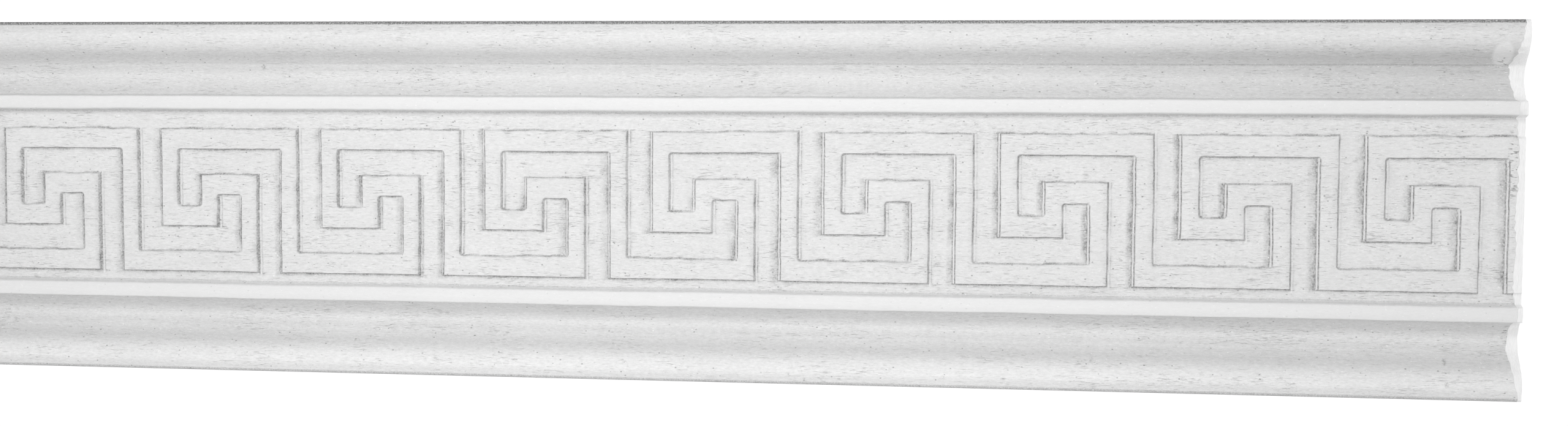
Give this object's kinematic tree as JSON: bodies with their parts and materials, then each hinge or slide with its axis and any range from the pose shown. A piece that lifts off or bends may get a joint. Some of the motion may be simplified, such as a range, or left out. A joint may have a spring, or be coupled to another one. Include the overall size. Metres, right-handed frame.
{
  "type": "flat moulding",
  "caption": "Flat primed wooden moulding with rolled rims, coves and fillets either side of a sunk frieze with a raised Greek key band, sawn square at both ends.",
  "frame": {"origin": "middle of the flat back face, where the strip is fixed to a wall or a carcass", "axes": "+X along the length, +Z across the width and up the wall, +Y out of the flat back into the wall, so the front faces -Y"},
  "size_m": [0.36, 0.014, 0.082],
  "materials": {
    "primed_wood": "matt white primer over fine-pored wood, with raw sawn ends and edges"
  },
  "bodies": {
    "root": {"moulding": "primed_wood"}
  },
  "joints": []
}
